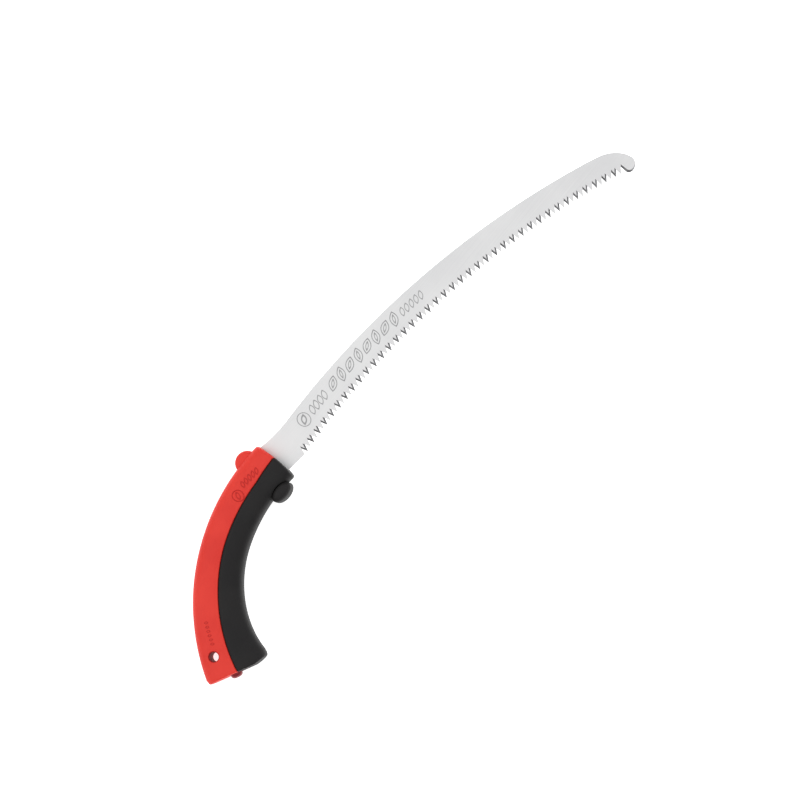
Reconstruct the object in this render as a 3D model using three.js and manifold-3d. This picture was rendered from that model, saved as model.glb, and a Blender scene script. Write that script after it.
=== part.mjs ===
// Fixed-blade curved pruning saw, lying flat on its side. Millimetres, +Z up.
// +X runs from the butt to the blade's tip, the back of the saw is +Y and the teeth point to -Y.
// Outlines are drawn in the plane of the blade from the butt's back corner (0, 0), and every piece
// is moved at the end so that the origin is under the middle of the whole saw.
import * as THREE from 'three';
import { mergeVertices } from 'three/addons/utils/BufferGeometryUtils.js';
import ManifoldModule from 'manifold-3d';

const wasm = await ManifoldModule();
wasm.setup();
const { Manifold, Mesh } = wasm;

// ---- driving dimensions ------------------------------------------------------------------
const CENTRE = { x: 245.45, y: 34.6 };         // middle of the saw's outline
const THICK = 25;                              // handle, flat side to flat side
const MID = THICK / 2;                         // height of the blade's mid-plane
const GAP = 0.3;                               // clearance between neighbouring pieces
const EDGE_R = 7;                              // rounding of the grip's long edges
const END_R = 1.8;                             // bevel of the grip's head and butt edges
const SKIN = 2.9;                              // grip thickness over the core's flat sides
const WALL = 4.2;                              // grip thickness at the back and finger edges
const BUTT_WALL = 4;                           // grip thickness over the core's butt end
const REACH = 40;                              // how far a cutting outline runs past the handle

const BACK = { x: 143.1, y: -81.1, r: 163.6 }; // arc of the handle's back edge
const BELLY = [[47.2, -17.4], [47.2, 7.6], [82.4, 47.5], [133.5, 47.6]];   // finger side
const SEAM = [[23.4, -10.7], [61.6, 70.6], [139.5, 63.2], [158, 66]];      // red to black line
const HEAD = { x: 157.8, back: 82.1, belly: 46 };
const BUTT = { a: [1.2, -1.9], b: [30.3, -15.6] };                         // its straight part
const CORNER = { x: 40.8, y: -11.2, r: 6.5 };                              // its finger corner

const REAR_NUB = { x: 142.5, y: 79.6, r: 9, low: 5.5, high: 19.5 };
const STOP = { x: 142.4, y: 46.2, rx: 8.8, ry: 5.4, low: 0.9, high: 24.1 };
const NUB_TONGUE = { x: REAR_NUB.x, low: 75.5, high: 82, half: 3 };        // keys into the core
const STOP_TONGUE = { x: STOP.x, low: 48.6, high: 51.9, half: 3 };
const PLUG = { x: 20.7, y: -11.2, r: 4.6, out: 3.2, inside: 9 };
const HANG = { x: 20.1, y: 7.8, r: 3.5, rim: 4.2 };

const BLADE_T = 1.2;
const SPINE = { x: 212.2, y: -589.4, r: 667.4 };
const TEETH = { x: 218.5, y: -637.7, r: 690, pitch: 3.957, depth: 4.9, count: 78, lean: 0.55 };
const HEEL = { corner: [174, 51.6], root: [157, 53.5] };
const NOSE = { low: [479.7, 0.4], gullet: [480.4, 7.6], tip: [490.4, 3.9], back: [477.5, 22.6] };
const TANG = [[156.4, 75.8], [130, 73], [104, 66.5], [88, 59.5], [84.5, 53.5], [86, 46.5],
  [91, 42.6], [104, 46.8], [130, 52.4], [156.4, 54.8]];

const BOLTS = { front: [137, 58.3], rear: [102, 52] };
const BOLT = { shank: 2.5, head: 4.5, headTop: 4.8, headLow: 2.1, end: 21, socket: 1.6 };
const WASHER = { inner: 2.8, outer: 4.4, low: 5.1, high: 6.3 };
const NUT = { flats: 8, low: 17.8, high: 21.6 };
const RECESS_R = 5.2;
const SCREWS = [[92, 66.2], [74, 50], [55, 27.5], [33, 14.5]];
const SCREW = { shank: 1.5, head: 2.6, headLow: 3.6, headTop: 5.8, end: 18.8 };
const DOWELS = [[64, 37], [43, 6]];
const DOWEL = { r: 1.5, low: 8, high: 17 };

const COLOURS = {
  steel: 0xd8dadb, red: 0xd8443a, black: 0x2c2b2c, core: 0x9c2222, zinc: 0xa9adb0,
};

// ---- geometry helpers --------------------------------------------------------------------
const v2 = ([x, y]) => new THREE.Vector2(x, y);
const onArc = (arc, x) => arc.y + Math.sqrt(arc.r ** 2 - (x - arc.x) ** 2);

function toSolid(geometry) {
  const clean = geometry.clone();
  clean.deleteAttribute('normal');
  clean.deleteAttribute('uv');
  const merged = mergeVertices(clean, 1e-4);
  return new Manifold(new Mesh({
    numProp: 3,
    vertProperties: new Float32Array(merged.attributes.position.array),
    triVerts: new Uint32Array(merged.index.array),
  }));
}

function toGeometry(solid) {
  const { vertProperties, triVerts, numProp } = solid.getMesh();
  const points = new Float32Array((vertProperties.length / numProp) * 3);
  for (let i = 0; i < points.length / 3; i += 1) {
    for (let k = 0; k < 3; k += 1) points[i * 3 + k] = vertProperties[i * numProp + k];
  }
  const geometry = new THREE.BufferGeometry();
  geometry.setAttribute('position', new THREE.BufferAttribute(points, 3));
  geometry.setIndex(new THREE.BufferAttribute(new Uint32Array(triVerts), 1));
  geometry.computeVertexNormals();
  return geometry;
}

// A slab from a plan outline between two heights, its rim rounded by `round`.
function slab(shape, low, high, round = 0, steps = 3) {
  const geometry = new THREE.ExtrudeGeometry(shape, {
    depth: high - low - 2 * round, curveSegments: 24, bevelEnabled: round > 0,
    bevelThickness: round, bevelSize: round, bevelOffset: -round, bevelSegments: steps,
  });
  geometry.translate(0, 0, low + round);
  return toSolid(geometry);
}

function disc([x, y], r, low, high, sides = 28) {
  const geometry = new THREE.CylinderGeometry(r, r, high - low, sides);
  geometry.rotateX(Math.PI / 2);
  geometry.translate(x, y, (low + high) / 2);
  return toSolid(geometry);
}

function polygon(points) {
  return new THREE.Shape(points.map(v2));
}

function cubic(points, count) {
  return new THREE.CubicBezierCurve(...points.map(v2)).getPoints(count);
}

// A closed outline with every edge moved outwards by `by`.
function grownOutline(points, by) {
  const line = points.map(v2);
  return line.map((at, i) => {
    const before = at.clone().sub(line.at(i - 1)).normalize();
    const after = line[(i + 1) % line.length].clone().sub(at).normalize();
    const out = new THREE.Vector2(-before.y - after.y, before.x + after.x).normalize();
    const stretch = by / (-before.y * out.x + before.x * out.y);
    return [at.x - out.x * stretch, at.y - out.y * stretch];
  });
}

// ---- handle outline ----------------------------------------------------------------------
// The back and finger edges, moved inwards by `inset` and run on past both ends by `past`.
function backEdge(inset, past) {
  const points = [];
  const start = (150.4 + past * 0.35) * (Math.PI / 180);
  const end = (85.8 - past * 0.35) * (Math.PI / 180);
  for (let i = 0; i <= 26; i += 1) {
    const a = start + ((end - start) * i) / 26;
    points.push([BACK.x + (BACK.r - inset) * Math.cos(a), BACK.y + (BACK.r - inset) * Math.sin(a)]);
  }
  return points;
}

function bellyEdge(inset, past) {
  const curve = new THREE.CubicBezierCurve(...BELLY.map(v2));
  const points = [[BELLY[0][0] - inset, BELLY[0][1] - past]];
  for (let i = 0; i <= 20; i += 1) {
    const at = curve.getPoint(i / 20);
    const along = curve.getTangent(i / 20);
    points.push([at.x - along.y * inset, at.y + along.x * inset]);
  }
  points.push([HEAD.x + past, HEAD.belly + 1.2 + inset]);
  return points;
}

function strip(inset, past) {
  return polygon([...backEdge(inset, past), ...bellyEdge(inset, past).reverse()]);
}

// Everything between the butt's line and the head's shallow curve, `inset` further in.
function endsShape(inset) {
  const along = v2(BUTT.b).sub(v2(BUTT.a)).normalize();
  const first = v2(BUTT.a).addScaledVector(along, -REACH);
  const shape = new THREE.Shape();
  shape.moveTo(first.x, first.y);
  shape.lineTo(...BUTT.b);
  shape.absarc(CORNER.x, CORNER.y, CORNER.r, -1.78, 0);
  shape.lineTo(HEAD.x - 4, -40);
  shape.lineTo(HEAD.x - 4, HEAD.belly - 3);
  shape.quadraticCurveTo(HEAD.x - 0.5, HEAD.belly + 1, HEAD.x, HEAD.belly + 12);
  shape.lineTo(HEAD.x, HEAD.back - 12);
  shape.quadraticCurveTo(HEAD.x - 0.5, HEAD.back - 3, HEAD.x - 4, HEAD.back + 3);
  shape.lineTo(HEAD.x - 4, 120);
  shape.lineTo(first.x - REACH, 120);
  const outline = shape.getPoints(8).map((at) => [at.x, at.y]);
  return polygon(grownOutline(outline, -inset));
}

function handleSolid() {
  const body = slab(strip(0, 14), 0, THICK, EDGE_R, 5);
  return body.intersect(slab(endsShape(0), 0, THICK, END_R, 2));
}

// The two core shells as one, `grow` larger, ending `headInset` short of the head.
function coreSolid(grow, headInset) {
  const body = slab(strip(WALL - grow, 14), SKIN - grow, THICK - SKIN + grow, 2.5, 2);
  const ends = slab(endsShape(BUTT_WALL - grow), -1, THICK + 1);
  const mouth = slab(polygon([[120, 30], [HEAD.x - headInset, 30],
    [HEAD.x - headInset, 100], [120, 100]]), -1, THICK + 1);
  return body.intersect(ends.add(mouth));
}

// The seam between the two grips, with the region on its back side or its finger side.
function seamSide(side) {
  const line = cubic(SEAM, 24).map((p) => [p.x, p.y + (side * GAP) / 2]);
  const first = [line[0][0] - 14, line[0][1] - 30];
  const last = [line.at(-1)[0] + 20, line.at(-1)[1] + 2];
  const far = side > 0 ? [[200, 130], [-60, 130], [-60, -40]] : [[200, -60], [first[0], -60]];
  return slab(polygon([first, ...line, last, ...far]), -1, THICK + 1);
}

// ---- blade -------------------------------------------------------------------------------
function toothPoint(angle, depth) {
  const r = TEETH.r + depth;
  return [TEETH.x + r * Math.cos(angle), TEETH.y + r * Math.sin(angle)];
}

// The toothed edge from the nose back to the heel: long narrow teeth that lean to the handle.
function toothLine() {
  const step = TEETH.pitch / TEETH.r;
  const heel = Math.PI / 2 + Math.asin((TEETH.x - 177.2) / TEETH.r);
  const points = [];
  for (let i = TEETH.count - 1; i >= 0; i -= 1) {
    const tip = heel - i * step;
    points.push(toothPoint(tip - step * 0.5 + TEETH.lean / TEETH.r, TEETH.depth));
    points.push(toothPoint(tip, 0));
  }
  points.push(toothPoint(heel + step * 0.56, TEETH.depth));
  return points;
}

function bladeShape() {
  const shape = new THREE.Shape();
  shape.moveTo(156.4, 79.9);
  shape.lineTo(157.6, 79.9);
  shape.quadraticCurveTo(168, 77.4, 180, onArc(SPINE, 180));
  for (let x = 196; x < NOSE.back[0]; x += 16) shape.lineTo(x, onArc(SPINE, x));
  shape.lineTo(...NOSE.back);
  shape.quadraticCurveTo(488.6, 16.2, ...NOSE.tip);
  shape.bezierCurveTo(490.4, 0.6, 487.4, -1.6, 484.6, -2);
  shape.quadraticCurveTo(481.6, -2.1, ...NOSE.low);
  shape.lineTo(...NOSE.gullet);
  for (const point of toothLine()) shape.lineTo(...point);
  shape.lineTo(...HEEL.corner);
  shape.lineTo(...HEEL.root);
  shape.lineTo(156.4, 53.5);
  for (const point of [...TANG].reverse()) shape.lineTo(...point);
  return shape;
}

function sawBlade() {
  const holes = Object.values(BOLTS).map((at) => disc(at, BOLT.shank + 0.4, 0, THICK));
  const body = slab(bladeShape(), MID - BLADE_T / 2, MID + BLADE_T / 2);
  return body.subtract(Manifold.union(holes));
}

// The pocket for the tang, clear of it by the gap all round, and open at the head.
function tangPocket() {
  const half = BLADE_T / 2 + GAP;
  const tang = [[HEAD.x + 3, TANG[0][1]], ...TANG, [HEAD.x + 3, TANG.at(-1)[1]]];
  const mouth = [[156.4, 53.5], [HEAD.x + 3, 53.1], [HEAD.x + 3, 79.9], [156.4, 79.9]];
  const shapes = [grownOutline(tang, GAP), grownOutline(mouth, GAP)];
  return Manifold.union(shapes.map((shape) => slab(polygon(shape), MID - half, MID + half)));
}

// ---- small shared cutters ----------------------------------------------------------------
function plugSolid(grow) {
  const along = v2(BUTT.b).sub(v2(BUTT.a)).normalize();
  const profile = [[0, 0], [PLUG.r + grow, 0], [PLUG.r + grow, PLUG.inside + PLUG.out - 0.8],
    [PLUG.r - 0.8 + grow, PLUG.inside + PLUG.out + grow], [0, PLUG.inside + PLUG.out + grow]];
  const geometry = new THREE.LatheGeometry(profile.map(v2), 24);
  geometry.rotateZ(Math.atan2(along.y, along.x) + Math.PI);
  const inward = new THREE.Vector2(-along.y, along.x).multiplyScalar(PLUG.inside);
  geometry.translate(PLUG.x + inward.x, PLUG.y + inward.y, MID);
  return toSolid(geometry);
}

function stopShape(grow) {
  const shape = new THREE.Shape();
  shape.absellipse(STOP.x, STOP.y, STOP.rx + grow, STOP.ry + grow, 0, Math.PI * 2);
  return shape;
}

function stopSolid(grow, round) {
  return slab(stopShape(grow), STOP.low - grow, STOP.high + grow, round, 3);
}

function nubSolid(grow, round) {
  const shape = new THREE.Shape();
  shape.absarc(REAR_NUB.x, REAR_NUB.y, REAR_NUB.r + grow, 0, Math.PI * 2);
  return slab(shape, REAR_NUB.low - grow, REAR_NUB.high + grow, round, 3);
}

// A square tongue that keys a nub into the core.
function tongue({ x, low, high, half }, grow) {
  const wide = 2 * (half + grow);
  const box = new THREE.BoxGeometry(wide, high - low + 2 * grow, wide);
  box.translate(x, (low + high) / 2, MID);
  return toSolid(box);
}

// ---- sub-parts ---------------------------------------------------------------------------
const ALL_ROUND = [[-50, -60], [200, -60], [200, 130], [-50, 130]];        // clears the handle

function nearCoreShell(core) {
  let solid = core.intersect(slab(polygon(ALL_ROUND), MID + GAP / 2, THICK));
  for (const at of Object.values(BOLTS)) {
    solid = solid.subtract(disc(at, BOLT.shank + GAP, 0, THICK));
    solid = solid.subtract(disc(at, NUT.flats / Math.sqrt(3) + GAP, NUT.low - GAP, THICK, 6));
  }
  for (const at of SCREWS) {
    solid = solid.subtract(disc(at, SCREW.shank + GAP, 0, SCREW.end + GAP, 16));
  }
  for (const at of DOWELS) {
    solid = solid.subtract(disc(at, DOWEL.r + GAP, 0, DOWEL.high + GAP, 16));
  }
  return solid;
}

function farCoreShell(core) {
  let solid = core.intersect(slab(polygon(ALL_ROUND), 0, MID - GAP / 2));
  for (const at of Object.values(BOLTS)) {
    solid = solid.subtract(disc(at, BOLT.shank + GAP, 0, THICK));
    solid = solid.subtract(disc(at, RECESS_R, 0, WASHER.high + GAP));
  }
  for (const at of SCREWS) {
    solid = solid.subtract(disc(at, SCREW.shank + GAP, 0, THICK, 16));
    solid = solid.subtract(disc(at, SCREW.head + GAP, 0, SCREW.headTop + GAP, 20));
  }
  for (const at of DOWELS) {
    solid = solid.subtract(disc(at, DOWEL.r + GAP, DOWEL.low - GAP, THICK, 16));
  }
  return solid;
}

function coreBlank() {
  return coreSolid(0, 0.9)
    .subtract(tangPocket())
    .subtract(plugSolid(GAP))
    .subtract(tongue(NUB_TONGUE, GAP))
    .subtract(tongue(STOP_TONGUE, GAP))
    .subtract(disc([HANG.x, HANG.y], HANG.r, -1, THICK + 1));
}

function grip(side) {
  let solid = handleSolid()
    .intersect(seamSide(side))
    .subtract(coreSolid(GAP, -4))
    .subtract(tangPocket())
    .subtract(plugSolid(GAP));
  if (side > 0) {
    solid = solid.subtract(nubSolid(GAP, 0));
    solid = solid.subtract(disc([HANG.x, HANG.y], HANG.rim, -1, THICK + 1));
  } else {
    solid = solid.subtract(slab(stopShape(GAP), -1, THICK + 1));
    for (const at of Object.values(BOLTS)) solid = solid.subtract(disc(at, RECESS_R, -1, MID));
  }
  return solid;
}

function redRearNub() {
  const body = nubSolid(0, 2.8).subtract(coreSolid(GAP, -4));
  return body.add(tongue(NUB_TONGUE, 0));
}

function blackFingerStop() {
  const body = stopSolid(0, 1.6).subtract(coreSolid(GAP, -4));
  return body.add(tongue(STOP_TONGUE, 0));
}

function bladeBolt(at) {
  const shank = disc(at, BOLT.shank, BOLT.headTop - 1, BOLT.end);
  const head = disc(at, BOLT.head, BOLT.headLow, BOLT.headTop);
  return shank.add(head).subtract(disc(at, BOLT.socket, 0, BOLT.headTop - 0.8, 6));
}

function springWasher(at) {
  const ring = disc(at, WASHER.outer, WASHER.low, WASHER.high);
  return ring.subtract(disc(at, WASHER.inner, 0, THICK));
}

function bladeNut(at) {
  const body = disc(at, NUT.flats / Math.sqrt(3), NUT.low, NUT.high, 6);
  return body.subtract(disc(at, WASHER.inner, 0, THICK));
}

function coreScrew(at) {
  const shank = disc(at, SCREW.shank, SCREW.headTop - 1, SCREW.end, 16);
  const head = disc(at, SCREW.head, SCREW.headLow, SCREW.headTop, 20);
  const slot = new THREE.BoxGeometry(4, 0.9, 1.6);
  slot.translate(at[0], at[1], SCREW.headLow);
  return shank.add(head).subtract(toSolid(slot));
}

// ---- assembly ----------------------------------------------------------------------------
const group = new THREE.Group();
group.name = 'pruning_saw';

function add(name, solid, colour, metalness, roughness) {
  const geometry = toGeometry(solid);
  geometry.translate(-CENTRE.x, -CENTRE.y, 0);
  const material = new THREE.MeshStandardMaterial({ color: colour, metalness, roughness });
  material.name = `${name}_finish`;
  const mesh = new THREE.Mesh(geometry, material);
  mesh.name = name;
  group.add(mesh);
}

const core = coreBlank();
add('saw_blade', sawBlade(), COLOURS.steel, 0.9, 0.35);
add('near_core_shell', nearCoreShell(core), COLOURS.core, 0, 0.35);
add('far_core_shell', farCoreShell(core), COLOURS.core, 0, 0.35);
add('red_back_grip', grip(1), COLOURS.red, 0, 0.65);
add('black_front_grip', grip(-1), COLOURS.black, 0, 0.7);
add('red_rear_nub', redRearNub(), COLOURS.red, 0, 0.65);
add('black_finger_stop', blackFingerStop(), COLOURS.black, 0, 0.7);
add('tail_plug', plugSolid(0), COLOURS.core, 0, 0.3);
for (const [place, at] of Object.entries(BOLTS)) {
  add(`${place}_blade_bolt`, bladeBolt(at), COLOURS.zinc, 0.9, 0.35);
  add(`${place}_spring_washer`, springWasher(at), COLOURS.zinc, 0.9, 0.4);
  add(`${place}_blade_nut`, bladeNut(at), COLOURS.zinc, 0.9, 0.4);
}
SCREWS.forEach((at, i) => add(`core_screw_${i + 1}`, coreScrew(at), COLOURS.zinc, 0.9, 0.4));
DOWELS.forEach((at, i) => {
  add(`core_dowel_${i + 1}`, disc(at, DOWEL.r, DOWEL.low, DOWEL.high, 16), COLOURS.zinc, 0.9, 0.4);
});

export default group;
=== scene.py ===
"""The visual model of a fixed-blade curved pruning saw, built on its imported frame.

Shapes are drawn in millimetres in the plane of the blade, from the back corner of the butt, and
are brought into the frame (metres, +X to the tip, +Y to the back, +Z up) as each piece is finished.
"""
import logging
import math
from dataclasses import dataclass, field
from enum import Enum
from typing import Callable, Iterable, Sequence

import bmesh
import bpy
from mathutils import Matrix, Vector


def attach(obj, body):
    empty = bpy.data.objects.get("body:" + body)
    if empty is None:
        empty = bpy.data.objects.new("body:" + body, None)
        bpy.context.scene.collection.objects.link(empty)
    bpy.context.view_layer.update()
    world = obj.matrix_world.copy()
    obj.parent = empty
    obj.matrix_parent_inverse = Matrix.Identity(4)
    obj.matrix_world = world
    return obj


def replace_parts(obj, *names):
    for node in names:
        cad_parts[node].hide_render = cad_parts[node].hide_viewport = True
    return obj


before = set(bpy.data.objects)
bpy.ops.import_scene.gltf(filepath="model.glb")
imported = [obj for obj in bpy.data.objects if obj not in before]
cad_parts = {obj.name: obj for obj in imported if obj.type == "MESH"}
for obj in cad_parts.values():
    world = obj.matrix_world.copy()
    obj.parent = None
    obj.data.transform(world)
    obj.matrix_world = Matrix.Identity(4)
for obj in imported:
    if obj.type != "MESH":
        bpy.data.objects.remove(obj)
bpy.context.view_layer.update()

log = logging.getLogger("pruning_saw")
MM = 0.001
MIDDLE = (245.45, 34.6)
"""Middle of the whole saw's outline, in plan millimetres."""

Pair = tuple[float, float]
Colour = tuple[float, float, float, float]
Socket = bpy.types.NodeSocket
Shape = bmesh.types.BMesh
Piece = bpy.types.Object


# ---- shader expressions --------------------------------------------------------------------
class Wire:
    """A node socket that can be used in Python expressions."""

    def __init__(self, bench: "Bench", socket: Socket) -> None:
        """Wraps one output socket of a node on the bench."""
        self.bench = bench
        self.socket = socket

    def _math(self, operation: str, *values: "Wire | float") -> "Wire":
        """Adds one Math node.

        Args:
            operation: the Math node's operation.
            values: its inputs, in order.

        Returns:
            The node's result.
        """
        inputs = dict(enumerate(values))
        return self.bench.node("ShaderNodeMath", {"operation": operation}, inputs)

    def __add__(self, other: "Wire | float") -> "Wire":
        """Sum."""
        return self._math("ADD", self, other)

    def __radd__(self, other: float) -> "Wire":
        """Sum with a number on the left."""
        return self._math("ADD", other, self)

    def __sub__(self, other: "Wire | float") -> "Wire":
        """Difference."""
        return self._math("SUBTRACT", self, other)

    def __rsub__(self, other: float) -> "Wire":
        """Difference from a number."""
        return self._math("SUBTRACT", other, self)

    def __mul__(self, other: "Wire | float") -> "Wire":
        """Product."""
        return self._math("MULTIPLY", self, other)

    def __rmul__(self, other: float) -> "Wire":
        """Product with a number on the left."""
        return self._math("MULTIPLY", other, self)

    def ramp(self, low: float, high: float) -> "Wire":
        """Goes smoothly from 0 at low to 1 at high.

        Args:
            low: the value that gives 0.
            high: the value that gives 1.

        Returns:
            The clamped, eased value.
        """
        settings = {"interpolation_type": "SMOOTHSTEP"}
        return self.bench.node("ShaderNodeMapRange", settings, {0: self, 1: low, 2: high})


class Bench:
    """A material's node tree with one Principled shader, and the way to add nodes to it."""

    def __init__(self, name: str) -> None:
        """Makes the material and its shader."""
        self.material = bpy.data.materials.new(name)
        self.material.use_nodes = True
        self.tree = self.material.node_tree
        self.shader = self.tree.nodes["Principled BSDF"]

    def node(self, kind: str, settings: dict, inputs: dict, output: int | str = 0) -> Wire:
        """Adds a node of any type.

        Args:
            kind: the node's type.
            settings: its own properties.
            inputs: socket index or name to a Wire, number or colour.
            output: the index or name of the wanted output.

        Returns:
            The wanted output.
        """
        made = self.tree.nodes.new(kind)
        for key, value in settings.items():
            setattr(made, key, value)
        for key, value in inputs.items():
            if isinstance(value, Wire):
                self.tree.links.new(value.socket, made.inputs[key])
            else:
                made.inputs[key].default_value = value
        return Wire(self, made.outputs[output])

    def place(self, scale: Sequence[float] = (1, 1, 1), turn: float = 0.0) -> Wire:
        """Object coordinates, turned about Z and stretched.

        Args:
            scale: the stretch along each axis.
            turn: the turn about Z, in radians.

        Returns:
            The coordinates.
        """
        here = self.node("ShaderNodeTexCoord", {}, {}, "Object")
        inputs = {"Vector": here, "Rotation": (0, 0, turn), "Scale": tuple(scale)}
        return self.node("ShaderNodeMapping", {}, inputs)

    def noise(self, at: Wire, scale: float, detail: float = 3.0) -> Wire:
        """Soft random variation from 0 to 1.

        Args:
            at: the coordinates.
            scale: how many features there are in a metre.
            detail: how many finer layers there are.

        Returns:
            The noise's value.
        """
        inputs = {"Vector": at, "Scale": scale, "Detail": detail}
        return self.node("ShaderNodeTexNoise", {}, inputs)

    def pits(self, at: Wire, scale: float) -> Wire:
        """Distance to the nearest of many scattered points.

        Args:
            at: the coordinates.
            scale: how many points there are in a metre.

        Returns:
            The distance, 0 at a point.
        """
        inputs = {"Vector": at, "Scale": scale}
        return self.node("ShaderNodeTexVoronoi", {}, inputs)

    def blend(self, mask: Wire, first: Sequence[float], second: Sequence[float] | Wire) -> Wire:
        """Mixes two colours.

        Args:
            mask: 0 for the first colour and 1 for the second.
            first: the first colour.
            second: the second colour.

        Returns:
            The mixed colour.
        """
        inputs = {0: mask, 6: first, 7: second}
        return self.node("ShaderNodeMix", {"data_type": "RGBA"}, inputs, 2)

    def bump(self, height: Wire, depth: float, strength: float = 1.0) -> None:
        """Gives the surface a relief.

        Args:
            height: the relief, from 0 to 1.
            depth: how deep it is, in metres.
            strength: how strongly it tilts the surface.
        """
        inputs = {"Height": height, "Distance": depth, "Strength": strength}
        self.feed("Normal", self.node("ShaderNodeBump", {}, inputs, "Normal"))

    def feed(self, name: str, value: Wire | float | Sequence[float]) -> None:
        """Sets or links one of the shader's sockets."""
        if isinstance(value, Wire):
            self.tree.links.new(value.socket, self.shader.inputs[name])
        else:
            self.shader.inputs[name].default_value = value


def linear(red: float, green: float, blue: float) -> Colour:
    """Turns a screen colour of 0 to 255 into scene-linear light.

    Args:
        red: the red value.
        green: the green value.
        blue: the blue value.

    Returns:
        The linear colour with an alpha of 1.
    """
    def one(value: float) -> float:
        """One channel, from 0 to 255."""
        v = value / 255
        return v / 12.92 if v <= 0.04045 else ((v + 0.055) / 1.055) ** 2.4

    return one(red), one(green), one(blue), 1.0


# ---- finishes ------------------------------------------------------------------------------
@dataclass(frozen=True)
class MouldedRubber:
    """A matte moulded elastomer with a fine spark-eroded grain."""

    name: str
    deep: Colour
    pale: Colour
    roughness: float = 0.56
    gleam: float = 0.28
    grain: float = 1500.0
    relief: float = 0.00006

    def make(self) -> bpy.types.Material:
        """Builds the material."""
        bench = Bench(self.name)
        at = bench.place()
        clouds = bench.noise(at, 38.0, 4.0)
        speckle = bench.noise(at, 900.0, 2.0)
        grain = bench.noise(at, self.grain, 3.0) * 0.7 + bench.pits(at, self.grain * 0.8) * 0.6
        mask = clouds.ramp(0.3, 0.72) * 0.8 + speckle * 0.2
        bench.feed("Base Color", bench.blend(mask, self.deep, self.pale))
        bench.feed("Roughness", self.roughness + (clouds - 0.5) * 0.16 + (speckle - 0.5) * 0.1)
        bench.feed("Specular IOR Level", self.gleam)
        bench.bump(grain, self.relief, 0.55)
        return bench.material


@dataclass(frozen=True)
class SatinSteel:
    """Satin steel with faint grinding lines along the blade."""

    name: str = "satin_steel"
    bright: Colour = linear(221, 221, 221)
    dull: Colour = linear(209, 209, 210)
    roughness: float = 0.5

    def make(self) -> bpy.types.Material:
        """Builds the material."""
        bench = Bench(self.name)
        lines = bench.noise(bench.place((14, 1600, 1600), 0.12), 1.0, 5.0)
        clouds = bench.noise(bench.place(), 22.0, 3.0)
        mask = lines * 0.35 + clouds * 0.65
        bench.feed("Base Color", bench.blend(mask.ramp(0.3, 0.7), self.dull, self.bright))
        bench.feed("Metallic", 0.6)
        bench.feed("Roughness", self.roughness + (lines - 0.5) * 0.1 + (clouds - 0.5) * 0.08)
        bench.bump(lines, 0.000004, 0.25)
        return bench.material


@dataclass(frozen=True)
class GroundSteel:
    """Bare ground steel of the teeth, with wheel marks across each facet."""

    name: str = "ground_steel"
    deep: Colour = linear(112, 112, 113)
    pale: Colour = linear(152, 152, 154)

    def make(self) -> bpy.types.Material:
        """Builds the material."""
        bench = Bench(self.name)
        marks = bench.noise(bench.place((2600, 260, 900), 0.7), 1.0, 3.0)
        bench.feed("Base Color", bench.blend(marks.ramp(0.3, 0.7), self.deep, self.pale))
        bench.feed("Metallic", 0.8)
        bench.feed("Roughness", 0.34 + (marks - 0.5) * 0.2)
        bench.bump(marks, 0.00001, 0.4)
        return bench.material


@dataclass(frozen=True)
class EtchedMark:
    """The dull grey of an acid-etched outline."""

    name: str = "etched_mark"
    shade: Colour = linear(164, 164, 165)

    def make(self) -> bpy.types.Material:
        """Builds the material."""
        bench = Bench(self.name)
        frost = bench.noise(bench.place(), 2600.0, 2.0)
        dark = tuple(c * 0.78 for c in self.shade[:3]) + (1.0,)
        bench.feed("Base Color", bench.blend(frost.ramp(0.3, 0.7), dark, self.shade))
        bench.feed("Metallic", 0.3)
        bench.feed("Roughness", 0.66 + (frost - 0.5) * 0.2)
        bench.bump(frost, 0.00001, 0.5)
        return bench.material


@dataclass(frozen=True)
class GlossNylon:
    """Red rigid plastic with a faint flow pattern, more or less glossy."""

    name: str = "gloss_nylon"
    roughness: float = 0.24
    gleam: float = 0.45
    deep: Colour = linear(132, 20, 30)
    pale: Colour = linear(150, 30, 34)

    def make(self) -> bpy.types.Material:
        """Builds the material."""
        bench = Bench(self.name)
        swirl = bench.noise(bench.place((1, 1, 2.5)), 140.0, 4.0)
        fibre = bench.noise(bench.place((1, 6, 6), 0.5), 420.0, 2.0)
        bench.feed("Base Color", bench.blend(swirl.ramp(0.35, 0.65), self.deep, self.pale))
        bench.feed("Roughness", self.roughness + fibre * 0.16)
        bench.feed("Specular IOR Level", self.gleam)
        bench.bump(fibre, 0.00002, 0.3)
        return bench.material


@dataclass(frozen=True)
class ZincPlate:
    """Bright zinc plating with a faint cloudy passivation."""

    name: str = "zinc_plate"
    bright: Colour = linear(196, 199, 205)
    cloudy: Colour = linear(150, 156, 164)

    def make(self) -> bpy.types.Material:
        """Builds the material."""
        bench = Bench(self.name)
        clouds = bench.noise(bench.place(), 320.0, 4.0)
        marks = bench.noise(bench.place((1, 1, 6)), 900.0, 2.0)
        bench.feed("Base Color", bench.blend(clouds.ramp(0.35, 0.65), self.cloudy, self.bright))
        bench.feed("Metallic", 0.95)
        bench.feed("Roughness", 0.27 + clouds * 0.18)
        bench.bump(marks, 0.00001, 0.35)
        return bench.material


class Finish(Enum):
    """The finishes of the saw's pieces."""

    RED = MouldedRubber("red_rubber", linear(219, 48, 38), linear(230, 60, 48), 0.56)
    # painted shade: the moulded marks take a darker copy of the red rubber, standing in for the shade
    # on their relief
    RED_MARK_PAINTED_SHADE = MouldedRubber("red_mark_painted_shade_rubber", linear(188, 30, 24), linear(202, 40, 32), 0.6)
    BLACK = MouldedRubber("black_rubber", linear(26, 25, 26), linear(35, 34, 34), 0.6, 0.2)
    BLADE = SatinSteel()
    GROUND = GroundSteel()
    ETCH = EtchedMark()
    NYLON = GlossNylon()
    # painted light: a paler, pinker copy of the red nylon, standing in for the light the pale floor
    # throws onto the core's walls in the hanging hole
    CORE_PAINTED_LIGHT = GlossNylon("core_nylon", 0.5, 0.2, linear(168, 42, 44), linear(190, 56, 56))
    ZINC = ZincPlate()


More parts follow.
